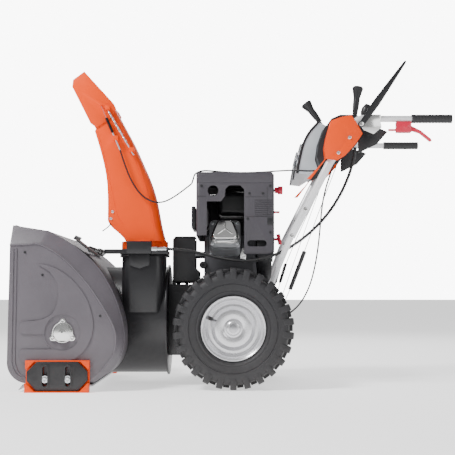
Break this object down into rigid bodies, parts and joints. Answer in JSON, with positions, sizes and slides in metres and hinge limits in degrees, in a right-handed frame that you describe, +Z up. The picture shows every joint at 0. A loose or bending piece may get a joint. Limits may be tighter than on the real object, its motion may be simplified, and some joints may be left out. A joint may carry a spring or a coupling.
{
  "type": "snow blower",
  "caption": "Walk-behind two-stage snow thrower with an auger housing, turning discharge chute, petrol engine, two driven wheels and a lever console on bent handles.",
  "frame": {"origin": "on the floor under the middle of the bounding box", "axes": "+X to the operator end, +Y to the right-hand side of the machine, +Z up"},
  "size_m": [1.508, 0.7694, 1.1274],
  "materials": {
    "charcoal_coat": "satin",
    "black_coat": "satin",
    "orange_coat": "gloss",
    "black_plastic": "matte",
    "charcoal_plastic": "matte",
    "steel": "satin",
    "cast": "matte",
    "zinc": "satin",
    "alloy": "satin",
    "rim_coat": "satin",
    "tyre": "matte",
    "rubber": "matte",
    "silver_coat": "satin",
    "lens": "gloss",
    "red_plastic": "gloss",
    "cable_rubber": "satin"
  },
  "bodies": {
    "chassis": {"auger_housing": "charcoal_coat", "impeller_housing": "black_coat", "scraper_blade": "black_coat", "auger_gearbox": "cast", "flange_bearings": "zinc", "chute_drive_box": "black_coat", "chassis_frame": "black_coat", "belts_and_chain": "rubber", "belt_cover": "black_plastic", "engine_block": "alloy", "valve_cover": "zinc", "engine_shroud": "charcoal_plastic", "shroud_lid": "charcoal_plastic", "fuel_tank": "black_coat", "muffler": "black_coat", "recoil_starter": "black_plastic", "handle_lower": "silver_coat", "handle_upper": "silver_coat", "hand_grips": "rubber", "console_wings": "orange_coat", "console_panel": "black_plastic", "headlight": "lens", "handle_brackets": "zinc", "trigger_fork": "red_plastic", "control_cables": "cable_rubber", "fasteners": "zinc"},
    "skid_left": {"skid_shoe_left": "orange_coat", "skid_pad_left": "black_plastic"},
    "skid_right": {"skid_shoe_right": "orange_coat", "skid_pad_right": "black_plastic"},
    "auger": {"auger_shaft": "steel", "auger_flights": "black_coat"},
    "impeller": {"impeller_shaft": "steel", "impeller": "orange_coat", "impeller_pulley": "cast"},
    "chute": {"chute_ring": "black_plastic", "chute": "orange_coat", "deflector_spring": "zinc", "deflector_cable": "cable_rubber"},
    "deflector": {"deflector": "orange_coat"},
    "cleanout_tool": {"cleanout_tool": "black_plastic"},
    "wheel_left": {"rim_left": "rim_coat", "tyre_left": "tyre"},
    "wheel_right": {"rim_right": "rim_coat", "tyre_right": "tyre"},
    "axle": {"drive_axle": "steel"},
    "hex_shaft": {"hex_shaft": "steel"},
    "friction_wheel": {"friction_wheel": "rubber"},
    "friction_disc": {"friction_disc": "steel"},
    "crankshaft": {"crankshaft": "steel"},
    "fuel_cap": {"fuel_cap": "black_plastic"},
    "recoil_grip": {"recoil_grip": "red_plastic"},
    "choke_knob": {"choke_knob": "red_plastic"},
    "ignition_key": {"ignition_key": "red_plastic"},
    "speed_lever": {"speed_lever": "black_plastic"},
    "chute_lever": {"chute_lever": "black_plastic"},
    "deflector_lever": {"deflector_lever": "black_plastic"},
    "clutch_lever_left": {"clutch_lever_left": "black_plastic"},
    "clutch_lever_right": {"clutch_lever_right": "black_plastic"},
    "steering_trigger": {"steering_trigger": "red_plastic"}
  },
  "joints": [
    {"name": "auger_spin", "type": "hinge", "parent": "chassis", "child": "auger", "pos_m": [-0.57, 0, 0.196], "axis": [0, 1, 0], "continuous": true},
    {"name": "impeller_spin", "type": "hinge", "parent": "chassis", "child": "impeller", "pos_m": [-0.4, 0, 0.23], "axis": [1, 0, 0], "continuous": true},
    {"name": "chute_rotation", "type": "hinge", "parent": "chassis", "child": "chute", "pos_m": [-0.322, -0.098, 0.47], "axis": [0, 0, 1], "range_deg": [-95, 95], "deforming": ["deflector_cable"]},
    {"name": "deflector_tilt", "type": "hinge", "parent": "chute", "child": "deflector", "pos_m": [-0.437, -0.098, 0.967], "axis": [0, -1, 0], "range_deg": [0, 50], "deforming": ["deflector_spring", "deflector_cable"]},
    {"name": "skid_left_height", "type": "slide", "parent": "chassis", "child": "skid_left", "axis": [0, 0, 1], "range_m": [-0.03, 0]},
    {"name": "skid_right_height", "type": "slide", "parent": "chassis", "child": "skid_right", "axis": [0, 0, 1], "range_m": [-0.03, 0]},
    {"name": "tool_lift", "type": "slide", "parent": "chassis", "child": "cleanout_tool", "axis": [0.5, 0, 0.866], "range_m": [0, 0.05]},
    {"name": "wheel_left_roll", "type": "hinge", "parent": "chassis", "child": "wheel_left", "pos_m": [-0.003, -0.25, 0.206], "axis": [0, 1, 0], "continuous": true},
    {"name": "wheel_right_roll", "type": "hinge", "parent": "chassis", "child": "wheel_right", "pos_m": [-0.003, 0.25, 0.206], "axis": [0, 1, 0], "continuous": true},
    {"name": "axle_spin", "type": "hinge", "parent": "chassis", "child": "axle", "pos_m": [-0.003, 0, 0.206], "axis": [0, 1, 0], "continuous": true},
    {"name": "hex_shaft_spin", "type": "hinge", "parent": "chassis", "child": "hex_shaft", "pos_m": [-0.0345, 0, 0.29], "axis": [0, 1, 0], "continuous": true},
    {"name": "friction_wheel_shift", "type": "slide", "parent": "hex_shaft", "child": "friction_wheel", "axis": [0, 1, 0], "range_m": [-0.07, 0.01]},
    {"name": "friction_disc_spin", "type": "hinge", "parent": "chassis", "child": "friction_disc", "pos_m": [-0.15, 0, 0.29], "axis": [1, 0, 0], "continuous": true},
    {"name": "crankshaft_spin", "type": "hinge", "parent": "chassis", "child": "crankshaft", "pos_m": [-0.15, 0, 0.468], "axis": [1, 0, 0], "continuous": true},
    {"name": "fuel_cap_turn", "type": "hinge", "parent": "chassis", "child": "fuel_cap", "pos_m": [0.06, 0.06, 0.74], "axis": [0, 0, 1], "range_deg": [0, 90]},
    {"name": "recoil_pull", "type": "slide", "parent": "chassis", "child": "recoil_grip", "axis": [1, 0, 0], "range_m": [0, 0.35], "stiffness_N_per_m": 15},
    {"name": "choke_turn", "type": "hinge", "parent": "chassis", "child": "choke_knob", "pos_m": [0.15, -0.1, 0.7], "axis": [1, 0, 0], "range_deg": [-75, 0]},
    {"name": "key_pull", "type": "slide", "parent": "chassis", "child": "ignition_key", "axis": [1, 0, 0], "range_m": [0, 0.012]},
    {"name": "speed_lever_swing", "type": "hinge", "parent": "chassis", "child": "speed_lever", "pos_m": [0.372, -0.08, 0.885], "axis": [0, 1, 0], "range_deg": [-5.5, 35.5]},
    {"name": "chute_lever_swing", "type": "hinge", "parent": "chassis", "child": "chute_lever", "pos_m": [0.445, 0, 0.882], "axis": [0, 1, 0], "range_deg": [-19, 19]},
    {"name": "deflector_lever_swing", "type": "hinge", "parent": "chassis", "child": "deflector_lever", "pos_m": [0.445, 0.12, 0.882], "axis": [0, -1, 0], "range_deg": [0, 25]},
    {"name": "clutch_left_squeeze", "type": "hinge", "parent": "chassis", "child": "clutch_lever_left", "pos_m": [0.437, -0.3, 0.905], "axis": [0, 1, 0], "range_deg": [0, 34], "stiffness_Nm_per_rad": 3, "springref_deg": -22.92},
    {"name": "clutch_right_squeeze", "type": "hinge", "parent": "chassis", "child": "clutch_lever_right", "pos_m": [0.437, 0.3, 0.905], "axis": [0, 1, 0], "range_deg": [0, 34], "stiffness_Nm_per_rad": 3, "springref_deg": -22.92},
    {"name": "trigger_squeeze", "type": "hinge", "parent": "chassis", "child": "steering_trigger", "pos_m": [0.597, -0.28, 0.899], "axis": [0, -1, 0], "range_deg": [0, 14], "stiffness_Nm_per_rad": 1, "springref_deg": -22.92}
  ],
  "couplings": [
    {"joint": "impeller_spin", "follows": "auger_spin", "ratio": 10},
    {"joint": "hex_shaft_spin", "follows": "axle_spin", "ratio": 2.2727},
    {"joint": "chute_lever_swing", "follows": "chute_rotation", "ratio": 0.2},
    {"joint": "deflector_lever_swing", "follows": "deflector_tilt", "ratio": 0.5},
    {"joint": "speed_lever_swing", "follows": "friction_wheel_shift", "rad_per_m": -8.7266}
  ]
}
